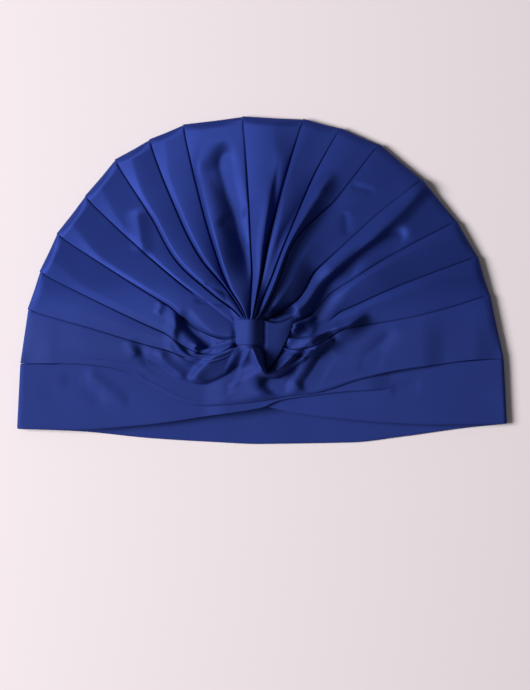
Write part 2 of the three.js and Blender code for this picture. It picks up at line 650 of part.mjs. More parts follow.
function bandPoint({ kind, x, angle }, share, outer) {
  const wide = x * seamHalfWidth * flare(share);
  if (kind === "fold") {
    const radius = foldRadius - (outer === 0.5 ? bandWall / 2 : outer ? 0 : bandWall);
    const centre = x * (seamHalfWidth * flare(share) - foldRadius);
    const y = mix(hemSideY, seamSideY, share) + tilt(wide) - seamGap * share;
    return new THREE.Vector3(
      centre + radius * Math.cos(angle * radians),
      y,
      foldRadius + radius * Math.sin(angle * radians),
    );
  }
  if (kind === "back") {
    const y = mix(backHemY(wide), seamY(wide) - seamGap, share);
    return new THREE.Vector3(wide, y, bandWall * (1 - outer));
  }
  const hem = kind === "left" ? leftHemY(wide) : rightHemY(wide);
  const y = mix(hem, bandTopY(wide), share);
  const layer = kind === "left" ? overRightEnd(wide) * (bandWall + lapGap) : 0;
  return new THREE.Vector3(wide, y, frontFloor(wide, y) + layer + bandWall * outer);
}
const bandRings = bandColumns.map((column) => {
  const across = [
    [0, 0.5],
    ...sectionShares.map((share) => [share, 1]),
    [1, 0.5],
    ...[...sectionShares].reverse().map((share) => [share, 0]),
  ];
  return across.map(([share, outer], i) => ({ place: i, point: bandPoint(column, share, outer) }));
});
const bandShape = skin(bandRings);

// The loop: over the bundle, down into the dip and out over the slack side.
const loopColumns = [
  ...steps(-loopLeft, loopDip - 1, 12),
  ...steps(loopDip - 1, tailTip, 6).slice(1),
  ...steps(tailTip, tailRight, 10).slice(1),
];
function loopPoint(from, share, outer) {
  const x = knotX + from;
  const tail = tailShare(x);
  const y = mix(loopBottomY(x), loopTopY(x), share);
  const open = tailRise * smooth((from - 5) / 3) * (1 - 0.3 * tail) * mix(0.5, 1, smooth(share / 0.8));
  const rolled = 0.5 * smooth(Math.min(share, 1 - share) / 0.25) * (1 - tail);
  const end = smooth(1 - (from + loopLeft) / 3) * 1.1;
  const under = underLoop(x, y) + loopGap + open + end;
  return new THREE.Vector3(x, y, under + (outer > 0 ? loopWall * outer + rolled : 0));
}
const loopRings = loopColumns.map((from) => {
  const shares = [0.03, 0.2, 0.4, 0.6, 0.8, 0.97];
  const across = [
    [0, 0.5],
    ...shares.map((share) => [share, 1]),
    [1, 0.5],
    ...[...shares].reverse().map((share) => [share, 0]),
  ];
  return across.map(([share, outer], i) => ({ place: i, point: loopPoint(from, share, outer) }));
});
const loopShape = skin(loopRings);

const cloth = new THREE.MeshStandardMaterial({ color: 0x2c4f9e, roughness: 0.85 });
const shapes = {
  crown_front: crownFrontShape,
  crown_back: crownBackShape,
  band: bandShape,
  knot_loop: loopShape,
};
const turban = new THREE.Group();
turban.name = "turban";
const bounds = new THREE.Box3();
for (const [name, geometry] of Object.entries(shapes)) {
  const mesh = new THREE.Mesh(geometry, cloth.clone());
  mesh.name = name;
  turban.add(mesh);
  geometry.computeBoundingBox();
  bounds.union(geometry.boundingBox);
}

// The outline's middle goes to the origin.
const middle = bounds.getCenter(new THREE.Vector3());
for (const geometry of Object.values(shapes)) {
  geometry.translate(-middle.x, -middle.y, -bounds.min.z);
  geometry.computeVertexNormals();
}

export default turban;
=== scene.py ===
import math

import bpy
import numpy as np
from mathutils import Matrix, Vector


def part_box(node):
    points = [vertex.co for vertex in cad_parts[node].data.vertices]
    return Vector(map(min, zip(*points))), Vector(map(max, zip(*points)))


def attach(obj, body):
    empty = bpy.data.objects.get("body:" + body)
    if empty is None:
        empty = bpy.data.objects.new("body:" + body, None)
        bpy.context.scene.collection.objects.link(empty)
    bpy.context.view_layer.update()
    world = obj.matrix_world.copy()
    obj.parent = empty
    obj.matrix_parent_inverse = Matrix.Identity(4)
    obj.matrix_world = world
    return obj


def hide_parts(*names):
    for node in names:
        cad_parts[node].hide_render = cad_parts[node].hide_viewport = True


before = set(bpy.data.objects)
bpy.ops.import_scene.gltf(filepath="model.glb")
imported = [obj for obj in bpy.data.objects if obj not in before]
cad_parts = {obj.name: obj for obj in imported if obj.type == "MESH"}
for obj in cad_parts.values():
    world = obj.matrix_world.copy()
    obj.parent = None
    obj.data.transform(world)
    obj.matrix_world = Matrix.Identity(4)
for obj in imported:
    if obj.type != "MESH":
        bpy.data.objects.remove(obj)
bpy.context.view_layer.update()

MM = 0.001

# sizes, in millimetres: the part's own, but for seam_gap and heap_right, which are 0.35 and 30 there
cap_width = 269
cap_height = 180
band_height = 36
hem_sag = 9.7
hem_flare = 1.8
side_rise = 2.8

cloth_wall = 1.1
band_wall = 1.5
seam_gap = 0.1
lap_gap = 0.6
loop_gap = 0.8
side_gap = 1.9
hollow_rise = 4.4
hem_rise = 3.8
hollow_reach = 90
band_lap = 5
lap_fade = 30

pleat_rise = 3
pleat_tuck = 2.6
pleat_step = 0.9
pleat_jog = 0.7
fold_rise = 3
fold_width = 5.2
fold_round = 0.15
gather_rise = 6
mound_rise = 5
heap_left = 52
heap_right = 34
heap_up = 58
heap_down = 19

knot_x = -6.6
knot_height = 62
hub_radius = 4
bundle_rise = 8
bundle_reach = 12
bundle_spread = 0.45
loop_top = 6.2
loop_bottom = 7.6
loop_left = 7.4
loop_dip = 7.2
tail_tip = 9.6
tail_drop = 21
tail_right = 24
tail_sag = 2
tail_rise = 2.8
loop_wall = 1.2

# only here: the crevice beside each pleat's folded edge, and the rim's rounding
crevice_width = 1.1
crevice_share = 0.62
rim_round = 1.4

# only here: the cross-section of a pleat, mostly in shares of its width
rim_crest = 0.45  # towards the rim a pleat is highest here
rim_crest_pull = 0.75  # and its crest goes this share of the way there
fall_power = 1.4  # how late it comes down towards the next pleat
tuck_most = 0.35  # the most that is tucked under
rim_spread = 0.35  # the layers of a tuck lie this many millimetres apart at the rim
edge_overhang = 0.12  # the folded edge reaches this many millimetres over the pleat before it

# only here: the cloth near the loop and in the grooves
thinnest = 0.8
calm_start = -0.5  # the folds begin to rise this far outside the loop, so a little inside it
calm_width = 3.2  # and have risen over this distance
held_share = 0.06  # the share of a pleat's rise that is left inside the loop

# only here: the crown's lower edge
hem_drop = 1  # the edge itself is this much lower
hem_round = 1.7  # and is rounded over this distance
hem_swell = 0.3  # the rolled cloth beside it stands up this much
hem_swell_in = 2.2
hem_swell_width = 1.1
hem_fade = 25  # the distance from the folded sides in which all this fades out

# only here: the threads of the fan run round a point this far right of the knot
grain_shift = 20

half_width = cap_width / 2
seam_half = half_width - hem_flare
hem_side_y = hem_sag - (cap_height + side_rise) / 2
seam_side_y = hem_side_y + band_height
dome_height = cap_height / 2 - seam_side_y - side_rise / 2
knot_y = knot_height - cap_height / 2
fold_radius = band_wall + side_gap / 2

# Pleats, clockwise from the left. Places, bearings and tucks are the part's own; of the crests and rises
# those of eight pleats are changed here.
PLEATS = [
    # arch, bulge, outer, middle, inner, hub, crest, rim rise, mid rise, near rise, mid tuck, near tuck, end
    (167, 0.992, 179, 191, 216, 240, 0.5, 0.3, 0.4, 0.5, 1, 0.5, 0.34),
    (157.7, 0.991, 169, 180, 208, 230, 0.2, 0.7, 0.6, 0.7, 1, 0.6, 0.26),
    (148, 0.998, 156, 162, 180, 206, 0.12, 1, 1, 1.4, 1, 1, 0.16),
    (137, 0.998, 142.5, 145, 147, 155, 0.15, 0.8, 0.6, 0.5, 0.5, 0, 0.38),
    (126.2, 1.026, 130.5, 136.5, 134, 120, 0.14, 0.9, 1.1, 1.6, 1, 1, 0),
    (117, 1.02, 120.5, 123.5, 118.5, 110, 0.16, 0.5, 1.2, 1.3, 0.8, 0.3, 0),
    (108.5, 1.02, 110, 113, 115, 104, 0.08, 0.4, 2.4, 1.8, 1, 1, 0),
    (94.5, 1.001, 90.7, 89, 86.5, 87, 0.68, 0.8, 2.5, 2.2, 1, 1, 0),
    (80, 1, 76.8, 77.7, 77, 77, 0.08, 0.3, 2.2, 1.7, 1, 0.8, 0),
    (71, 1, 67.5, 67.7, 66.5, 66, 0.45, 0.35, 1.2, 1.6, 0.6, 0.2, 0),
    (61, 1.003, 56.5, 63.3, 58.5, 50, 0.4, 0.3, 1.1, 1.6, 1, 0.8, 0),
    (47.8, 0.988, 42.3, 42, 31.5, 30, 0.38, 0.35, 1.5, 1.4, 1, 1, 0),
    (34.8, 0.981, 28, 25, 12, 10, 0.16, 0.6, 1.3, 1.3, 1, 0.5, 0.3),
    (25, 0.984, 17, 12, -6, -13, 0.2, 0.6, 1.2, 1.2, 0.9, 0.2, 0.42),
    (15.3, 0.977, 5, 1, -20, -33, 0.3, 0.4, 0.6, 0.8, 1, 0.6, 0.28),
]
LOWER_EDGE = [
    (-1, 0), (-0.78, 0.02), (-0.65, 0.07), (-0.56, 0.15), (-0.48, 0.33), (-0.4, 0.49), (-0.32, 0.62),
    (-0.24, 0.675), (-0.12, 0.65), (0, 0.605), (0.1, 0.54), (0.225, 0.49), (0.39, 0.31), (0.55, 0.175),
    (0.74, 0.08), (0.865, 0.025), (1, 0),
]
LEFT_HEM = [
    (-1, 0), (-0.75, -0.02), (-0.46, 0.05), (-0.21, 0.175), (0, 0.29), (0.07, 0.395), (0.17, 0.455),
    (0.36, 0.525), (0.5, 0.55), (0.56, 0.63), (0.6, 0.8),
]
RIGHT_HEM = [(-0.14, 0.42), (0.01, 0.31), (0.14, 0.2), (0.3, 0.115), (0.54, 0.03), (0.73, 0), (1, 0)]
BACK_HEM = [
    (-1, 0), (-0.75, 0.17), (-0.46, 0.6), (-0.21, 0.85), (0, 1), (0.36, 0.97), (0.57, 0.67), (0.85, 0.18),
    (1, 0),
]
# Folds: height, widths left and right of the path, and the path, as shares of fold_rise, fold_width, the
# half width and the cap's height. Nine of the part's eighteen are deeper or sharper here, and the ridge
# that starts at 0.7, 0.82 is extra.
FOLDS = [
    # gathers on the left of the knot
    (
        1.2, 0.8, 1.2,
        [
            (-0.372, 0.418), (-0.348, 0.369), (-0.36, 0.327),
            (-0.339, 0.287), (-0.294, 0.262), (-0.196, 0.272),
        ],
    ),
    (-2.4, 1.4, 1.3, [(-0.335, 0.403), (-0.286, 0.354), (-0.225, 0.308), (-0.213, 0.285)]),
    (1.1, 1.8, 0.7, [(-0.417, 0.296), (-0.405, 0.26), (-0.36, 0.226), (-0.29, 0.185)]),
    (-0.8, 1.1, 1.1, [(-0.503, 0.31), (-0.474, 0.266), (-0.417, 0.232), (-0.335, 0.195)]),
    # the cloth that hangs out of the knot over the lower edge
    (2.3, 3.2, 0.8, [(-0.06, 0.32), (-0.155, 0.287), (-0.229, 0.244), (-0.262, 0.217), (-0.3, 0.175)]),
    (
        -2.8, 1.1, 1.5,
        [(-0.5, 0.2), (-0.356, 0.18), (-0.225, 0.169), (-0.131, 0.198), (-0.098, 0.232), (-0.06, 0.31)],
    ),
    (1.5, 0.9, 0.8, [(-0.045, 0.32), (-0.061, 0.272), (-0.086, 0.241), (-0.1, 0.2), (-0.16, 0.16)]),
    (2.2, 0.9, 4.5, [(-0.03, 0.25), (0.01, 0.195), (0.05, 0.15), (0.1, 0.09)]),
    # the folds round the loop's slack side, and the hollow below them
    (
        2.3, 1.2, 0.9,
        [(-0.05, 0.33), (-0.02, 0.262), (0.024, 0.218), (0.115, 0.262), (0.18, 0.31), (0.222, 0.38)],
    ),
    (
        -3, 1.5, 1.7,
        [(-0.016, 0.225), (0.025, 0.183), (0.065, 0.162), (0.115, 0.2), (0.165, 0.26), (0.2, 0.33)],
    ),
    # ridges and hollows on the right of the knot
    (
        3.2, 2.2, 1.1,
        [(0.44, 0.4), (0.344, 0.363), (0.221, 0.327), (0.18, 0.272), (0.123, 0.198), (0.065, 0.13)],
    ),
    (-1.1, 1.6, 1.6, [(0.28, 0.3), (0.23, 0.25), (0.19, 0.2), (0.15, 0.165)]),
    (
        -2, 1.8, 1.8,
        [(0.6, 0.66), (0.515, 0.62), (0.389, 0.57), (0.303, 0.498), (0.225, 0.397), (0.195, 0.335)],
    ),
    (-0.5, 1.5, 1.5, [(0.552, 0.354), (0.474, 0.299), (0.438, 0.244), (0.434, 0.217)]),
    # soft folds between the pleats above the knot
    (
        1.8, 1.9, 1.1,
        [(0.3, 0.83), (0.225, 0.76), (0.172, 0.696), (0.102, 0.601), (0.045, 0.476), (-0.01, 0.375)],
    ),
    (1.4, 1.5, 4.5, [(0.7, 0.82), (0.6, 0.735), (0.486, 0.651), (0.315, 0.542), (0.22, 0.485)]),
    (-1.2, 1.2, 1.2, [(0.072, 0.897), (0.041, 0.723), (0.02, 0.629), (0.004, 0.537), (-0.02, 0.43)]),
    (-2, 1.5, 2.8, [(-0.16, 0.93), (-0.135, 0.82), (-0.1, 0.7), (-0.075, 0.6), (-0.05, 0.47)]),
    (-0.4, 2.4, 2.4, [(-0.254, 0.867), (-0.147, 0.751), (-0.057, 0.696)]),
]
# Finer folds, which the part's solids leave out.
FINE_FOLDS = [
    (0.5, 0.6, 0.6, [(-0.405, 0.43), (-0.413, 0.412), (-0.425, 0.394)]),
    (-0.5, 0.4, 0.4, [(-0.325, 0.302), (-0.29, 0.276), (-0.255, 0.268), (-0.2, 0.27)]),
    (0.8, 0.45, 0.45, [(-0.262, 0.311), (-0.274, 0.284), (-0.262, 0.272)]),
    (0.7, 0.5, 0.5, [(-0.184, 0.32), (-0.2, 0.298), (-0.235, 0.28)]),
    (0.7, 0.45, 0.45, [(-0.1, 0.322), (-0.14, 0.318), (-0.18, 0.314)]),
    (0.5, 1.2, 1.2, [(-0.544, 0.323), (-0.528, 0.29), (-0.507, 0.266)]),
    (
        1.1, 0.6, 0.5,
        [
            (-0.037, 0.296), (-0.02, 0.253), (0.004, 0.223), (0.045, 0.212),
            (0.094, 0.229), (0.17, 0.27), (0.2, 0.3),
        ],
    ),
    (
        1, 0.55, 0.5,
        [
            (-0.037, 0.284), (-0.008, 0.241), (0.025, 0.208), (0.065, 0.21),
            (0.115, 0.23), (0.163, 0.259), (0.188, 0.281),
        ],
    ),
    (1, 0.9, 0.6, [(0.29, 0.324), (0.245, 0.311), (0.2, 0.29)]),
    (-0.8, 0.5, 0.5, [(-0.364, 0.327), (-0.348, 0.29), (-0.303, 0.259), (-0.258, 0.247), (-0.213, 0.25)]),
    (0.8, 0.6, 0.6, [(-0.256, 0.308), (-0.27, 0.29), (-0.274, 0.272)]),
    (0.8, 0.6, 0.6, [(0.286, 0.319), (0.245, 0.308), (0.2, 0.287)]),
    (-2.6, 1.1, 1.1, [(0.03, 0.39), (0.09, 0.4), (0.14, 0.412)]),
    (-1.2, 1.7, 1.7, [(0.14, 0.37), (0.19, 0.345), (0.245, 0.335), (0.31, 0.34)]),
    (-0.35, 1.4, 1.4, [(-0.172, 0.687), (-0.11, 0.64), (-0.049, 0.592)]),
    (-0.2, 0.7, 0.7, [(0.36, 0.787), (0.41, 0.778), (0.46, 0.769)]),
    (-0.2, 0.9, 0.9, [(0.335, 0.71), (0.342, 0.672), (0.348, 0.63)]),
    (0.35, 1.6, 1.6, [(-0.51, 0.72), (-0.495, 0.65), (-0.478, 0.57)]),
    (-0.4, 0.5, 0.5, [(-0.237, 0.485), (-0.18, 0.47), (-0.131, 0.455)]),
    (-0.4, 0.5, 0.5, [(-0.278, 0.436), (-0.196, 0.43), (-0.131, 0.421)]),
]

# Soft creases of the band, in the same shares.
BAND_FOLDS = [
    (0.6, 1.1, 0.9, [(-0.72, 0.22), (-0.67, 0.19), (-0.62, 0.159), (-0.54, 0.12)]),
    (-0.4, 1.3, 1.3, [(-0.83, 0.2), (-0.75, 0.185), (-0.69, 0.16), (-0.63, 0.125)]),
    (-0.45, 0.7, 0.7, [(0.52, 0.163), (0.585, 0.171), (0.65, 0.183)]),
    (0.12, 2.5, 2.5, [(-0.95, 0.2), (-0.9, 0.12), (-0.84, 0.06)]),
]


# small functions
def clamp01(t):
    return np.clip(t, 0, 1)


def smooth(t):
    t = clamp01(t)
    return t * t * (3 - 2 * t)


def mix(a, b, t):
    return a + (b - a) * t


def quarter_round(t):
    return np.sqrt(1 - (1 - clamp01(t)) ** 2)


def curve(x, y, at):
    """A smooth curve through rising x and y, without overshoot. y may have a row for each row of at."""
    x = np.asarray(x, float)
    y = np.asarray(y, float)
    at = np.asarray(at, float)
    slope = np.diff(y, axis=-1) / np.diff(x)
    before = np.concatenate([slope[..., :1], slope], axis=-1)
    after = np.concatenate([slope, slope[..., -1:]], axis=-1)
    same = before * after > 0
    tangent = np.where(same, 2 * before * after / np.where(same, before + after, 1), 0)
    inside = np.clip(at, x[0], x[-1])
    i = np.clip(np.searchsorted(x, inside, side="right") - 1, 0, len(x) - 2)

    def pick(values, index):
        if values.ndim == 1:
            return values[index]
        return np.take_along_axis(values, index, axis=-1)

    width = x[i + 1] - x[i]
    t = (inside - x[i]) / width
    ends = mix(pick(y, i), pick(y, i + 1), smooth(t))
    return ends + width * (pick(tangent, i) * t * (1 - t) ** 2 - pick(tangent, i + 1) * t * t * (1 - t))


def table_curve(table, at):
    return curve([row[0] for row in table], [row[1] for row in table], at)


# lines across the cap
def tilt(x):
    return side_rise * (x / half_width + 1) / 2


def seam_y(x):
    return seam_side_y + tilt(x)


def crown_edge_y(x):
    return seam_y(x) - band_height * table_curve(LOWER_EDGE, x / seam_half)


def left_hem_y(x):
    return hem_side_y + tilt(x) + band_height * table_curve(LEFT_HEM, x / half_width)


def right_hem_y(x):
    return hem_side_y + tilt(x) + band_height * table_curve(RIGHT_HEM, x / half_width)


def back_hem_y(x):
    return hem_side_y + tilt(x) - hem_sag * table_curve(BACK_HEM, x / half_width)


left_end_x = LEFT_HEM[-1][0] * half_width
right_end_x = RIGHT_HEM[0][0] * half_width
layer_ramp = 14

# the rim
ARCHES = np.array([180] + [row[0] for row in PLEATS] + [0], float)
BULGES = np.array([1] + [row[1] for row in PLEATS] + [1], float)


def rim_points():
    angle = np.radians(ARCHES)
    x = seam_half * BULGES * np.cos(angle)
    return x, seam_y(x) + dome_height * BULGES * np.sin(angle)


def rim_bulge(arch):
    i = np.clip(len(ARCHES) - 1 - np.searchsorted(ARCHES[::-1], arch, side="left"), 0, len(ARCHES) - 2)
    a, b = np.radians(ARCHES[i]), np.radians(ARCHES[i + 1])
    at = np.radians(arch)
    return np.sin(a - b) / (np.sin(at - b) / BULGES[i] + np.sin(a - at) / BULGES[i + 1])


def rim_distance(x, y):
    """Distance inwards from the rim, or from the folded sides below it."""
    across = x / seam_half
    up = (y - seam_y(x)) / dome_height
    flared = seam_half + hem_flare * (seam_y(x) - y) / band_height
    away = np.hypot(across, up)
    steep = np.hypot(across / seam_half, up / dome_height) / np.maximum(away, 1e-6)
    arch = np.degrees(np.arctan2(np.maximum(up, 0), across))
    dome = (1 - away / rim_bulge(arch)) / np.maximum(steep, 1e-9)
    return np.where(up <= 0, flared - np.abs(x), dome)


def front_floor(x, y):
    """Underside of the front layer that lies on nothing but the room for the head."""
    opened = np.sin(np.pi / 2 * clamp01((rim_distance(x, y) - fold_radius) / hollow_reach))
    rise = mix(hollow_rise, hem_rise, smooth((seam_y(x) + 8 - y) / band_height))
    return band_wall + side_gap + rise * opened


def side_distance(x):
    return seam_half - np.abs(x)


def over_right_end(x):
    return smooth((x - right_end_x + layer_ramp) / (layer_ramp - 1))


def layers_below(x):
    two = over_right_end(x) * (1 - smooth((x - left_end_x - 6) / layer_ramp))
    return smooth((side_distance(x) - 3) / 15) + two


def band_top_y(x):
    return crown_edge_y(x) - seam_gap + (band_lap + seam_gap) * smooth((side_distance(x) - 20) / 16)


def heap(x, y):
    """How much of the heap of gathered cloth round the knot there is at a point."""
    across = (x - knot_x) / np.where(x > knot_x, heap_right, heap_left)
    across = np.where(across > 0, across**2, across)
    up = (y - knot_y) / np.where(y > knot_y, heap_up, heap_down)
    return np.exp(-(across**2 + up**2))


def crown_floor(x, y):
    """Underside of the crown's front."""
    lap = 1 - smooth((y - band_top_y(x) - 2) / lap_fade)
    return front_floor(x, y) + layers_below(x) * (band_wall + lap_gap) * lap + mound_rise * heap(x, y)


# the loop's outline
def tail_share(x):
    return clamp01((x - knot_x - loop_dip) / (tail_right - loop_dip))


def loop_top_y(x):
    tail = tail_share(x)
    return knot_y + loop_top + tail_rise * 0.5 * tail**3 - tail_sag * np.sin(np.pi * tail)


def loop_bottom_y(x):
    out = x - knot_x
    left = knot_y - mix(loop_bottom, tail_drop, smooth((out - loop_dip + 1) / (tail_tip - loop_dip + 1)))
    up = clamp01((out - tail_tip) / (tail_right - tail_tip)) ** 1.25
    return np.where(out < tail_tip, left, mix(knot_y - tail_drop, loop_top_y(x) - 1.5, up))


def outside_loop(x, y):
    within = np.clip(x, knot_x - loop_left, knot_x + tail_right)
    above = np.maximum(np.maximum(y - loop_top_y(within), loop_bottom_y(within) - y), 0)
    return np.hypot(x - within, above)


def bundle(x, away=0.0):
    across = clamp01(np.abs(x - knot_x) / (loop_dip + 0.6 + bundle_spread * away))
    arched = np.maximum(np.cos(np.pi / 2 * across), 0) ** 0.85
    return bundle_rise * arched * np.exp(-((away / bundle_reach) ** 2))


def above_loop(y):
    return np.maximum(np.maximum(y - knot_y - loop_top, knot_y - loop_bottom - y), 0)


def under_loop(x, y):
    return crown_floor(x, y) + cloth_wall + gather_rise * heap(x, y) + bundle(x)


# folds
path_steps = 30
fold_fade = 0.2  # the share of its length in which a fold rises at each end


def catmull(points, count):
    """Points along a smooth path (centripetal, as in the source)."""
    p = [np.array(q, float) for q in points]
    p = [2 * p[0] - p[1]] + p + [2 * p[-1] - p[-2]]
    out = []
    spans = len(p) - 3
    for k in range(count + 1):
        at = k / count * spans
        i = min(int(at), spans - 1)
        t = at - i
        p0, p1, p2, p3 = p[i : i + 4]
        d0, d1, d2 = (max(np.linalg.norm(b - a) ** 0.5, 1e-4) for a, b in ((p0, p1), (p1, p2), (p2, p3)))
        m1 = ((p1 - p0) / d0 - (p2 - p0) / (d0 + d1) + (p2 - p1) / d1) * d1
        m2 = ((p2 - p1) / d1 - (p3 - p1) / (d1 + d2) + (p3 - p2) / d2) * d1
        out.append(
            (2 * t**3 - 3 * t**2 + 1) * p1
            + (t**3 - 2 * t**2 + t) * m1
            + (3 * t**2 - 2 * t**3) * p2
            + (t**3 - t**2) * m2
        )
    return np.array(out)


def path_distance(x, y, path):
    """Distance to a path, the side of it (positive on its left) and the share of the way along."""
    best = np.full(x.shape, 1e9)
    side = np.ones(x.shape)
    along = np.zeros(x.shape)
    for i in range(len(path) - 1):
        ax, ay = path[i]
        dx, dy = path[i + 1] - path[i]
        t = clamp01(((x - ax) * dx + (y - ay) * dy) / (dx * dx + dy * dy))
        away = np.hypot(x - ax - dx * t, y - ay - dy * t)
        near = away < best
        best = np.where(near, away, best)
        side = np.where(near, dx * (y - ay) - dy * (x - ax), side)
        along = np.where(near, (i + t) / (len(path) - 1), along)
    return best, side, along


def fold_height(x, y, folds=FOLDS):
    total = np.zeros(x.shape)
    for height, left, right, points in folds:
        places = [(px * half_width, py * cap_height - cap_height / 2) for px, py in points]
        path = catmull(places, path_steps)
        reach = fold_width * max(left, right) + 1
        low, high = path.min(0) - reach, path.max(0) + reach
        near = (x > low[0]) & (x < high[0]) & (y > low[1]) & (y < high[1])
        if not near.any():
            continue
        away, side, along = path_distance(x[near], y[near], path)
        width = fold_width * np.where(side > 0, left, right)
        ends = smooth(along / fold_fade) * smooth((1 - along) / fold_fade)
        out = away / width
        profile = np.maximum(0, 1 + fold_round * (1 - out) - np.hypot(out, fold_round)) ** 2
        total[near] += fold_rise * height * ends * profile
    return total


# the crown's front, laid out on lines from the knot
lower_count = 43
lower_crowding = 0.7  # how much closer the lines lie towards the folded sides
lower_along = np.arange(lower_count) / (lower_count - 1)
LOWER_STEPS = mix(1 - 2 * lower_along, np.cos(np.pi * lower_along), lower_crowding)
right_hub, left_hub = -45, -105


def bearing(x, y):
    return np.degrees(np.arctan2(y - knot_y, x - knot_x))


rim_x, rim_y = rim_points()
lower_x = LOWER_STEPS * seam_half
lower_y = crown_edge_y(lower_x)
rim_start = bearing(rim_x, rim_y)
rim_start[0] += 360
lower_start = bearing(lower_x, lower_y)
lower_hub = mix(right_hub, left_hub, np.arange(len(LOWER_STEPS)) / (len(LOWER_STEPS) - 1))

# Every line: those of the rim first, then those of the lower edge.
rim_count = len(rim_x)
line_start = np.concatenate([rim_start, lower_start])
plain_start = np.concatenate([[lower_start[-1]], rim_start[1:-1], [lower_start[0]], lower_start])
plain_hub = np.concatenate([[lower_hub[-1]], np.zeros(len(PLEATS)), [lower_hub[0]], lower_hub])
is_pleat = np.zeros(len(line_start), bool)
is_pleat[1 : rim_count - 1] = True
pleat_turns = np.zeros((len(line_start), 5))
for k, row in enumerate(PLEATS):
    pleat_turns[k + 1] = (row[5], row[4], row[3], row[2], line_start[k + 1])
pleat_facts = np.zeros((len(line_start), 7))
pleat_facts[:, 0] = 0.5
pleat_facts[:, 1:4] = 0.3
for k, row in enumerate(PLEATS):
    pleat_facts[k + 1] = row[6:13]
TURN_SHARES = [0.06, 0.22, 0.4, 0.7, 1]


def turn(line, share):
    """How far lines have turned about the knot from their starts, in degrees; a row of shares for each."""
    share = np.maximum(share, 0.06)
    table = pleat_turns[line]
    turned = curve(TURN_SHARES, table, np.minimum(share, 1)) - line_start[line][:, None]
    plain = (plain_hub[line] - plain_start[line])[:, None] * (1 - np.minimum(share, 1)) ** 3
    return np.where(is_pleat[line][:, None], turned, plain)


panel_from = np.concatenate([np.arange(rim_count - 1), rim_count + np.arange(len(lower_x) - 1)])
panel_rim = np.arange(len(panel_from)) < rim_count - 1
all_x = np.concatenate([rim_x, lower_x])
all_y = np.concatenate([rim_y, lower_y])


def panel_edge(panel, across):
    """Bearing and reach of the edge point at a share of the way across panels; arrays of one shape."""
    a = panel_from[panel]
    x = mix(all_x[a], all_x[a + 1], across)
    rim = panel_rim[panel]
    y = np.where(rim, mix(all_y[a], all_y[a + 1], across), crown_edge_y(x))
    start = bearing(x, y)
    start = np.where(rim & (start < -90), start + 360, start)
    first, last = panel == 0, panel == rim_count - 2
    jog = np.where(first, -0.5 * across, mix(0.5, -0.5, across) * np.where(last, 1 - across, 1))
    reach = np.hypot(x - knot_x, y - knot_y) + np.where(rim, pleat_jog * jog, 0)
    return start, reach


def panel_point(panel, across, radius):
    start, reach = panel_edge(panel, across)
    share = radius / reach
    a = panel_from[panel[:, 0]]
    angle = np.radians(start + mix(turn(a, share), turn(a + 1, share), across))
    return knot_x + radius * np.cos(angle), knot_y + radius * np.sin(angle)


def crest_height(line, share):
    facts = pleat_facts[line]
    table = np.stack([facts[:, 3] * 0.8, facts[:, 3], facts[:, 2], facts[:, 1]], axis=1)
    return pleat_rise * curve([0.08, 0.22, 0.5, 1], table, np.clip(share, 0.08, 1))


def ring_mesh(name, rings):
    """A closed mesh from rings of points in millimetres, each ring with as many points."""
    rings = np.asarray(rings, float)
    rows, count = rings.shape[:2]
    vertices = rings.reshape(-1, 3)
    r = np.arange(rows - 1)[:, None] * count
    i = np.arange(count)[None, :]
    j = (i + 1) % count
    quads = np.stack([r + i, r + j, r + count + j, r + count + i], axis=-1).reshape(-1, 4)
    middles = np.array([rings[0].mean(0), rings[-1].mean(0)])
    vertices = np.concatenate([vertices, middles])
    first, last = rows * count, rows * count + 1
    k = np.arange(count)
    top = np.stack([np.full(count, first), (k + 1) % count, k], axis=-1)
    base = (rows - 1) * count
    bottom = np.stack([base + k, base + (k + 1) % count, np.full(count, last)], axis=-1)
    mesh = bpy.data.meshes.new(name)
    mesh.vertices.add(len(vertices))
    mesh.vertices.foreach_set("co", ((vertices + SHIFT) * MM).astype(np.float32).ravel())
    loops = np.concatenate([quads.ravel(), top.ravel(), bottom.ravel()])
    sizes = np.concatenate([np.full(len(quads), 4), np.full(2 * count, 3)])
    mesh.loops.add(len(loops))
    mesh.loops.foreach_set("vertex_index", loops.astype(np.int32))
    mesh.polygons.add(len(sizes))
    mesh.polygons.foreach_set("loop_start", np.concatenate([[0], np.cumsum(sizes)[:-1]]).astype(np.int32))
    mesh.polygons.foreach_set("use_smooth", np.ones(len(sizes), bool))
    mesh.update(calc_edges=True)
    mesh.validate()
    piece = bpy.data.objects.new(name, mesh)
    bpy.context.scene.collection.objects.link(piece)
    a, b, c = (vertices[quads[:, q]] for q in (0, 1, 2))
    d = vertices[quads[:, 3]]
    volume = np.einsum("ij,ij->i", a, np.cross(b, c)).sum() + np.einsum("ij,ij->i", a, np.cross(c, d)).sum()
    if volume < 0:
        mesh.flip_normals()
    return piece


# The source moves the outline's middle to the origin; its straight seam says by how much.
seam_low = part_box("crown_back")[0]
SHIFT = np.array([0, seam_low.y / MM - seam_y(-seam_half), 0])


# Kinds of columns round the front: plain cloth, under the next pleat, back out of there, the folded edge.
PLAIN, TUCKED, RETURNING, FOLDED = range(4)
TUCK_COLUMNS = [
    (0.1, TUCKED), (0.5, TUCKED), (1, TUCKED), (0.95, RETURNING), (0.5, RETURNING), (0.1, RETURNING),
    (0, FOLDED),
]
PLAIN_PLACES = [0, 0.01, 0.025, 0.05, *np.linspace(0.09, 0.9, 21), 0.93, 0.955, 0.975, 0.99]
lower_places = 5
front_lip = fold_radius + seam_gap / 2
EDGE_ROWS = np.array([0, 0.12, 0.35, 0.7, 1.15, 1.7, fold_radius])
UNDER_EDGE_ROWS = np.array([0, 0.35, 1.1, fold_radius])
inner_rows = 91
under_inner_rows = 8


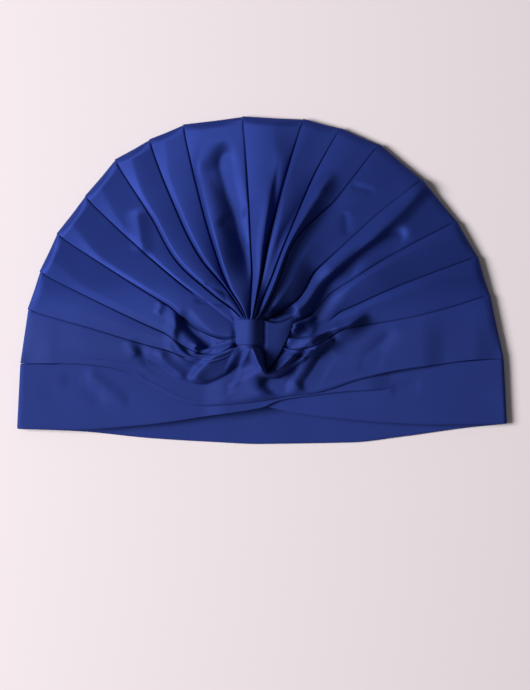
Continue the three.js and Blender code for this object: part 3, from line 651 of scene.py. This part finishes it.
def front_columns():
    """For each column its panel, place across it, share of the tuck, kind, and order in the tuck."""
    columns = []
    for p in range(rim_count - 1):
        if p > 0:
            columns += [(p, 0, share, kind, k + 1) for k, (share, kind) in enumerate(TUCK_COLUMNS)]
        columns += [(p, at, 0, PLAIN, 0) for at in PLAIN_PLACES]
    for p in range(rim_count - 1, len(panel_from)):
        columns += [(p, at, 0, PLAIN, 0) for at in np.arange(lower_places) / lower_places]
    panel, across, tuck_share, kind, order = (np.array(values)[:, None] for values in zip(*columns))
    return panel[:, 0], across, tuck_share, kind, order


def column_radii(reach, edge_rows, rows):
    """Distances from the knot of a column's points: close together at the edge, then evenly to the hub."""
    inward = np.linspace(0, 1, rows + 1)[1:]
    at_edge = reach - edge_rows[None, :]
    return np.concatenate([at_edge, mix(reach - fold_radius, hub_radius, inward[None, :])], axis=1)


def pleat_section(panel, across, kind, share, free):
    """Rise of the pleats, the step at a folded edge, and how much of the crevice beside it there is."""
    a = panel_from[panel]
    crest = mix(pleat_facts[a][:, 0:1], rim_crest, rim_crest_pull * smooth((share - 0.75) / 0.25))
    high = crest_height(a, share)
    kept = smooth((share - pleat_facts[a][:, 6:7]) / 0.1 + 1)
    kept_next = smooth((share - pleat_facts[a + 1][:, 6:7]) / 0.1 + 1)
    step = np.minimum(pleat_step, high * 0.9) * kept
    climb = clamp01(across / crest)
    rising = mix(np.where(is_pleat[a][:, None], step, 0), high, climb * (1.5 - 0.5 * climb))
    falling = high * (1 - clamp01((across - crest) / (1 - crest)) ** fall_power)
    lift = np.where(across < crest, rising, falling)
    lift = np.where(kind == TUCKED, 0, lift)
    lift = np.where(kind == RETURNING, step * 0.45, lift)
    lift = np.where(kind == FOLDED, step * 0.7, lift)
    lift = np.where(panel_rim[panel][:, None], lift * free, 0)
    return lift, kept, kept_next


def column_places(panel, across, tuck_share, kind, order, radius, share, inward):
    """Where each point is across its panel, tucks included, and how wide the panel is there."""
    panels = np.broadcast_to(panel[:, None], radius.shape)
    x0, y0 = panel_point(panels, np.zeros(radius.shape), radius)
    x1, y1 = panel_point(panels, np.ones(radius.shape), radius)
    width = np.hypot(x1 - x0, y1 - y0)
    facts = pleat_facts[panel_from[panel]]
    tucks = np.stack([facts[:, 5], facts[:, 5], facts[:, 4], np.ones(len(panel))], axis=1)
    tuck = pleat_tuck * curve([0.1, 0.25, 0.6, 1], tucks, np.clip(share, 0.1, 1))
    tuck = np.minimum(tuck, width * tuck_most)
    at_rim = np.minimum(rim_spread, width * 0.06) * (order / 4 - 1)
    offset = mix(at_rim, tuck * tuck_share - edge_overhang * (kind == FOLDED), smooth(inward / 8))
    return np.where(kind > PLAIN, offset / width, across), width


def front_top(panel, across, tuck_share, kind, order):
    rim = panel_rim[panel][:, None]
    _, reach = panel_edge(panel[:, None], across)
    radius = column_radii(reach, EDGE_ROWS, inner_rows)
    share = radius / reach
    inward = reach - radius
    free = smooth(inward / 4)
    lift, kept, kept_next = pleat_section(panel, across, kind, share, free)
    place, width = column_places(panel, across, tuck_share, kind, order, radius, share, inward)
    x, y = panel_point(np.broadcast_to(panel[:, None], radius.shape), place, radius)

    to_next = (1 - across) * width / np.minimum(crevice_width, width * 0.25)
    beside_pleat = is_pleat[panel_from[panel] + 1][:, None] & (kind == PLAIN)
    crevice = np.where(beside_pleat, (1 - smooth(to_next)) * kept_next, 0)
    crevice = np.where(kind == TUCKED, kept, np.where(kind == RETURNING, 0.5 * kept, crevice))
    folds = fold_height(x, y, FOLDS + FINE_FOLDS) * np.where(rim, 1, smooth((inward + 0.5) / 5))
    plain = cloth_wall + gather_rise * heap(x, y) * smooth(inward / 20)
    dip = crevice_share * plain * crevice * np.where(rim, free, 0)
    cloth = np.maximum(plain + bundle(x, above_loop(y)) + lift + folds, thinnest)
    loose = crown_floor(x, y) + cloth - dip
    calm = smooth((outside_loop(x, y) - calm_start) / calm_width)
    top = mix(under_loop(x, y) + lift * held_share, loose, calm)

    away = rim_distance(x, y)
    bend = quarter_round(np.where(rim, np.minimum(inward, away + 0.5) / rim_round, away / fold_radius))
    swell = hem_swell * np.exp(-(((inward - hem_swell_in) / hem_swell_width) ** 2))
    thin = hem_drop - quarter_round((inward + 0.05) / hem_round) - swell
    thin = np.where(rim, 0, thin * smooth((seam_half - np.abs(x)) / hem_fade))
    z = mix(front_lip, top - thin, bend)
    z[:, 0] = np.where(rim[:, 0], front_lip, z[:, 0])
    return np.stack([x, y, z], axis=-1).transpose(1, 0, 2)[::-1]


def front_underside(panel, across, kind, order):
    rim = panel_rim[panel][:, None]
    _, reach = panel_edge(panel[:, None], across)
    corner = ~rim & (np.abs(all_x[panel_from[panel]])[:, None] > seam_half - 0.5)
    inset = np.where(rim | corner, cloth_wall, 0)
    reach_in = reach - inset
    radius = column_radii(reach_in, UNDER_EDGE_ROWS, under_inner_rows)
    # The columns of a tuck lie side by side here, so that each ring has as many points as above.
    place = np.where(kind > PLAIN, 0.0008 * (order - 8), across)
    panels = np.broadcast_to(panel[:, None], radius.shape)
    x, y = panel_point(panels, np.broadcast_to(place, radius.shape), radius)
    far = np.where(rim, reach_in - radius, rim_distance(x, y) - cloth_wall)
    z = mix(front_lip, crown_floor(x, y), quarter_round(far / (fold_radius - cloth_wall)))
    z[:, 0] = np.where(inset[:, 0] > 0, front_lip, z[:, 0])
    return np.stack([x, y, z], axis=-1).transpose(1, 0, 2)


def crown_front_rings():
    panel, across, tuck_share, kind, order = front_columns()
    top = front_top(panel, across, tuck_share, kind, order)
    return np.concatenate([top, front_underside(panel, across, kind, order)])


# distances from the edge at which the back has points, below and above
BACK_UNDER_ROWS = [60, 40, 24, 12, 6, 3.4, fold_radius, 1.8, 1.2, 0.7, 0.3, 0]
BACK_TOP_ROWS = [0, 0.3, 0.8, fold_radius - cloth_wall, 3, 6, 12, 24, 40, 60]
back_steps = 12  # along each of the rim's sides
back_seam_steps = 90


def crown_back_rings():
    x, y, on_rim = [], [], []
    for i in range(rim_count - 1):
        for at in np.arange(back_steps) / back_steps:
            x.append(mix(rim_x[i], rim_x[i + 1], at))
            y.append(mix(rim_y[i], rim_y[i + 1], at))
            on_rim.append(True)
    for i, at in enumerate(np.linspace(1, -1, back_seam_steps)[:-1]):
        x.append(at * seam_half)
        y.append(seam_y(at * seam_half))
        on_rim.append(i == 0)
    x, y, on_rim = np.array(x)[None, :], np.array(y)[None, :], np.array(on_rim)[None, :]
    mx, my = 0, seam_y(0) + dome_height * 0.3
    length = np.hypot(x - mx, y - my)
    lip = fold_radius - seam_gap / 2
    rings = []
    for under, rows in ((True, BACK_UNDER_ROWS), (False, BACK_TOP_ROWS)):
        inward = np.array(rows)[:, None]
        inset = np.where(on_rim & (not under), cloth_wall, 0)
        t = np.minimum(1, (inward + inset) / length)
        px, py = mix(x, mx, t), mix(y, my, t)
        away = np.where(on_rim, inward, rim_distance(px, py) - (0 if under else cloth_wall))
        bend = quarter_round(away / (fold_radius if under else fold_radius - cloth_wall))
        rings.append(np.stack([px, py, mix(lip, 0.0 if under else cloth_wall, bend)], axis=-1))
    return np.concatenate(rings)


# places across the band's width
SECTION = [
    0.004, 0.012, 0.03, 0.08, 0.16, 0.24, 0.32, 0.4, 0.48, 0.56, 0.64, 0.72, 0.8, 0.88, 0.94, 0.975, 0.99,
]
hem_share = 0.03  # the share of the width in which each hem is rounded
sunk_layers = 1.05  # the left strip's end sinks this many layers, from this share of the half width
sunk_from = 0.42
sunk_over = 0.12


def flare(share):
    return 1 + (hem_flare / seam_half) * (1 - share)


def band_point(kind, along, angle, share, outer):
    wide = along * seam_half * flare(share)
    if kind == "fold":
        radius = fold_radius - band_wall * (1 - outer)
        centre = along * (seam_half * flare(share) - fold_radius)
        y = mix(hem_side_y, seam_side_y, share) + tilt(wide) - seam_gap * share
        turned = math.radians(angle)
        x, z = centre + radius * math.cos(turned), fold_radius + radius * math.sin(turned)
        return np.stack([x, y, z], axis=-1)
    if kind == "back":
        y = mix(back_hem_y(wide), seam_y(wide) - seam_gap, share)
        return np.stack([wide, y, band_wall * (1 - outer)], axis=-1)
    hem = left_hem_y(wide) if kind == "left" else right_hem_y(wide)
    y = mix(hem, band_top_y(wide), share)
    layer = 0
    if kind == "left":
        sunk = sunk_layers * smooth((wide / half_width - sunk_from) / sunk_over)
        layer = (over_right_end(wide) - sunk) * (band_wall + lap_gap)
    creases = fold_height(wide, y, BAND_FOLDS)
    return np.stack([wide, y, front_floor(wide, y) + layer + creases + band_wall * outer], axis=-1)


def band_rings():
    side = 1 - fold_radius / seam_half
    columns = [("left", x, 0) for x in np.linspace(left_end_x / seam_half, -side, 170)]
    columns += [("fold", -1, angle) for angle in np.linspace(90, 270, 13)[1:-1]]
    columns += [("back", x, 0) for x in np.linspace(-side, side, 140)]
    columns += [("fold", 1, angle) for angle in np.linspace(270, 450, 13)[1:-1]]
    columns += [("right", x, 0) for x in np.linspace(side, right_end_x / seam_half, 120)]
    section = np.array(SECTION)
    rounded = np.minimum(1, np.minimum(section, 1 - section) / hem_share)
    swell = 0.5 + 0.5 * np.sqrt(1 - (1 - rounded) ** 2)
    share = np.concatenate([[0], section, [1], section[::-1]])
    outer = np.concatenate([[0.5], swell, [0.5], 1 - swell[::-1]])
    return [band_point(kind, along, angle, share, outer) for kind, along, angle in columns]


loop_places = 25
loop_open_from = 6  # right of the knot, the loop's slack side begins to open here
loop_open_over = 4
loop_end_lift = 0.3
loop_roll = 0.5


def loop_rings():
    along = np.concatenate([
        np.linspace(-loop_left, loop_dip - 1, 40),
        np.linspace(loop_dip - 1, tail_tip, 16)[1:],
        np.linspace(tail_tip, tail_right, 40)[1:],
    ])
    section = np.linspace(0.02, 0.98, loop_places)
    share = np.concatenate([[0], section, [1], section[::-1]])
    outer = np.concatenate([[0.5], np.ones(loop_places), [0.5], np.zeros(loop_places)])
    rings = []
    for at in along:
        x = knot_x + at + 0 * share
        tail = tail_share(x)
        y = mix(loop_bottom_y(x), loop_top_y(x), share)
        opened = tail_rise * smooth((at - loop_open_from) / loop_open_over) * (1 - 0.8 * tail)
        opened = opened * mix(0.5, 1, smooth(share / 0.8))
        rolled = loop_roll * smooth(np.minimum(share, 1 - share) / 0.25) * (1 - tail)
        end = smooth(1 - (at + loop_left) / 3) * loop_end_lift
        z = under_loop(x, y) + loop_gap + opened + end + np.where(outer > 0, loop_wall * outer + rolled, 0)
        rings.append(np.stack([x, y, z], axis=-1))
    return rings


# cloth
def set_inputs(node, values):
    for socket, value in values.items():
        node.inputs[socket].default_value = value


def vector_node(nodes, operation, second=None):
    node = nodes.new("ShaderNodeVectorMath")
    node.operation = operation
    if second is not None:
        node.inputs[1].default_value = second
    return node


def product_node(nodes, second=1):
    node = nodes.new("ShaderNodeMath")
    node.operation = "MULTIPLY"
    node.inputs[1].default_value = second
    return node


def soft_step_node(nodes, start, end):
    """From 0 at the start to 1 at the end."""
    node = nodes.new("ShaderNodeMapRange")
    node.interpolation_type = "SMOOTHSTEP"
    set_inputs(node, {"From Min": start, "From Max": end})
    return node


def jersey(name, blue, rough):
    """Knitted cloth with a slightly clouded colour."""
    material = bpy.data.materials.new(name)
    material.use_nodes = True
    nodes, links = material.node_tree.nodes, material.node_tree.links
    shader = nodes["Principled BSDF"]
    set_inputs(shader, {"Roughness": rough, "Specular IOR Level": 0.08})
    place = nodes.new("ShaderNodeTexCoord")
    place.name = "place"

    cloud = nodes.new("ShaderNodeTexNoise")
    set_inputs(cloud, {"Scale": 38, "Detail": 4})
    links.new(place.outputs["Object"], cloud.inputs["Vector"])
    ramp = nodes.new("ShaderNodeValToRGB")
    ramp.name = "clouded"
    darker, lighter = ramp.color_ramp.elements
    darker.position, lighter.position = 0.3, 0.7
    darker.color = (blue[0] * 0.93, blue[1] * 0.93, blue[2] * 0.94, 1)
    lighter.color = (blue[0] * 1.06, blue[1] * 1.06, blue[2] * 1.05, 1)
    links.new(cloud.outputs["Fac"], ramp.inputs["Fac"])
    links.new(ramp.outputs["Color"], shader.inputs["Base Color"])

    knit = nodes.new("ShaderNodeTexWave")
    knit.wave_type = "BANDS"
    knit.bands_direction = "DIAGONAL"
    set_inputs(knit, {"Scale": 420, "Distortion": 1.5, "Detail": 1, "Detail Scale": 2})
    links.new(place.outputs["Object"], knit.inputs["Vector"])
    grain = nodes.new("ShaderNodeTexNoise")
    set_inputs(grain, {"Scale": 1500, "Detail": 3})
    links.new(place.outputs["Object"], grain.inputs["Vector"])
    both = nodes.new("ShaderNodeMix")
    both.data_type = "FLOAT"
    set_inputs(both, {"Factor": 0.6})
    links.new(knit.outputs["Fac"], both.inputs["A"])
    links.new(grain.outputs["Fac"], both.inputs["B"])
    bump = nodes.new("ShaderNodeBump")
    set_inputs(bump, {"Strength": 0.25, "Distance": 0.0002})
    links.new(both.outputs["Result"], bump.inputs["Height"])
    links.new(bump.outputs["Normal"], shader.inputs["Normal"])
    return material


# The fan above the knot is stretched smooth and catches the light across its pleats, through the shader's
# own drawn-out reflection. Elsewhere, near the knot and below it, the cloth is matte, and its base colour
# is darkened by the share given last: painted shade, standing in for the darker shading of those parts.
fan_near, fan_far = 0.02, 0.065
fan_low, fan_high = -0.005, 0.03


def fan_sheen_and_painted_shade(material, drawn, metallic, painted_shade):
    nodes, links = material.node_tree.nodes, material.node_tree.links
    shader = nodes["Principled BSDF"]
    centre = (Vector((knot_x + grain_shift, knot_y, 0)) + Vector(SHIFT)) * MM
    from_knot = vector_node(nodes, "SUBTRACT", centre)
    links.new(nodes["place"].outputs["Object"], from_knot.inputs[0])
    along_threads = vector_node(nodes, "CROSS_PRODUCT", (0, 0, 1))
    links.new(from_knot.outputs["Vector"], along_threads.inputs[0])
    links.new(along_threads.outputs["Vector"], shader.inputs["Tangent"])

    length = vector_node(nodes, "LENGTH")
    links.new(from_knot.outputs["Vector"], length.inputs[0])
    far = soft_step_node(nodes, fan_near, fan_far)
    links.new(length.outputs["Value"], far.inputs["Value"])
    parts = nodes.new("ShaderNodeSeparateXYZ")
    links.new(from_knot.outputs["Vector"], parts.inputs[0])
    above = soft_step_node(nodes, fan_low, fan_high)
    links.new(parts.outputs["Y"], above.inputs["Value"])
    in_fan = product_node(nodes)
    links.new(far.outputs["Result"], in_fan.inputs[0])
    links.new(above.outputs["Result"], in_fan.inputs[1])

    for socket, most in (("Metallic", metallic), ("Anisotropic", drawn)):
        amount = product_node(nodes, most)
        links.new(in_fan.outputs["Value"], amount.inputs[0])
        links.new(amount.outputs["Value"], shader.inputs[socket])
    # painted shade: outside the fan the base colour is scaled down to the given share
    painted_shade_amount = nodes.new("ShaderNodeMapRange")
    set_inputs(painted_shade_amount, {"To Min": painted_shade, "To Max": 1})
    links.new(in_fan.outputs["Value"], painted_shade_amount.inputs["Value"])
    painted_shade_colour = vector_node(nodes, "SCALE")
    links.new(nodes["clouded"].outputs["Color"], painted_shade_colour.inputs[0])
    links.new(painted_shade_amount.outputs["Result"], painted_shade_colour.inputs["Scale"])
    links.new(painted_shade_colour.outputs["Vector"], shader.inputs["Base Color"])


blue = (0.024, 0.046, 0.25)
# the fan's blue scaled down to 0.71: painted shade on the back, the band and the loop, which are the same
# cloth
painted_shade_blue = (0.017, 0.0327, 0.1775)
pleated = jersey("royal_blue_jersey_pleated", blue, 0.68)
fan_sheen_and_painted_shade(pleated, 0.9, 0.5, 0.7)
smooth_cloth = jersey("royal_blue_jersey_smooth", painted_shade_blue, 0.75)

pieces = {
    "crown_front": (crown_front_rings(), "crown_cloth", "gathered"),
    "crown_back": (crown_back_rings(), "back_cloth", "laid"),
    "band": (band_rings(), "band_cloth", "folded"),
    "knot_loop": (loop_rings(), "loop_cloth", "gathered"),
}
for name, (rings, finish, held) in pieces.items():
    piece = ring_mesh(name + "_cloth", rings)
    piece.data.materials.append(pleated if name == "crown_front" else smooth_cloth)
    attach(piece, "root")
    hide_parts(name)

# floor, light and camera
floor_colour = (0.765, 0.684, 0.711, 1)
floor_gap = 0.0002
ambient = 0.13
camera_height = 1.3
field_height = 0.3795

bpy.ops.mesh.primitive_plane_add(size=6, location=(0, 0, -floor_gap))
floor = bpy.context.object
floor.name = "floor"
floor_material = bpy.data.materials.new("pale_floor")
floor_material.use_nodes = True
shader = floor_material.node_tree.nodes["Principled BSDF"]
set_inputs(shader, {"Base Color": floor_colour, "Roughness": 0.6})
floor.data.materials.append(floor_material)


def area_light(name, place, aim, size, power):
    light = bpy.data.lights.new(name, "AREA")
    light.shape = "DISK"
    light.size = size
    light.energy = power
    lamp = bpy.data.objects.new(name, light)
    lamp.location = place
    lamp.rotation_mode = "QUATERNION"
    lamp.rotation_quaternion = (Vector(aim) - Vector(place)).to_track_quat("-Z", "Y")
    bpy.context.scene.collection.objects.link(lamp)


area_light("key", (-2.07, 0.05, 1.73), (0, 0, 0), 1.3, 113)
bpy.context.scene.view_settings.view_transform = "Standard"
world = bpy.data.worlds.new("studio")
bpy.context.scene.world = world
world.use_nodes = True
set_inputs(world.node_tree.nodes["Background"], {"Color": (1, 1, 1, 1), "Strength": ambient})

camera = bpy.data.cameras.new("camera")
camera.sensor_width = 36
camera.lens = 36 * camera_height / field_height
camera.clip_start = 0.05
camera.clip_end = 20
eye = bpy.data.objects.new("camera", camera)
eye.location = (0.00165, -0.0356, camera_height)
bpy.context.scene.collection.objects.link(eye)
bpy.context.scene.camera = eye
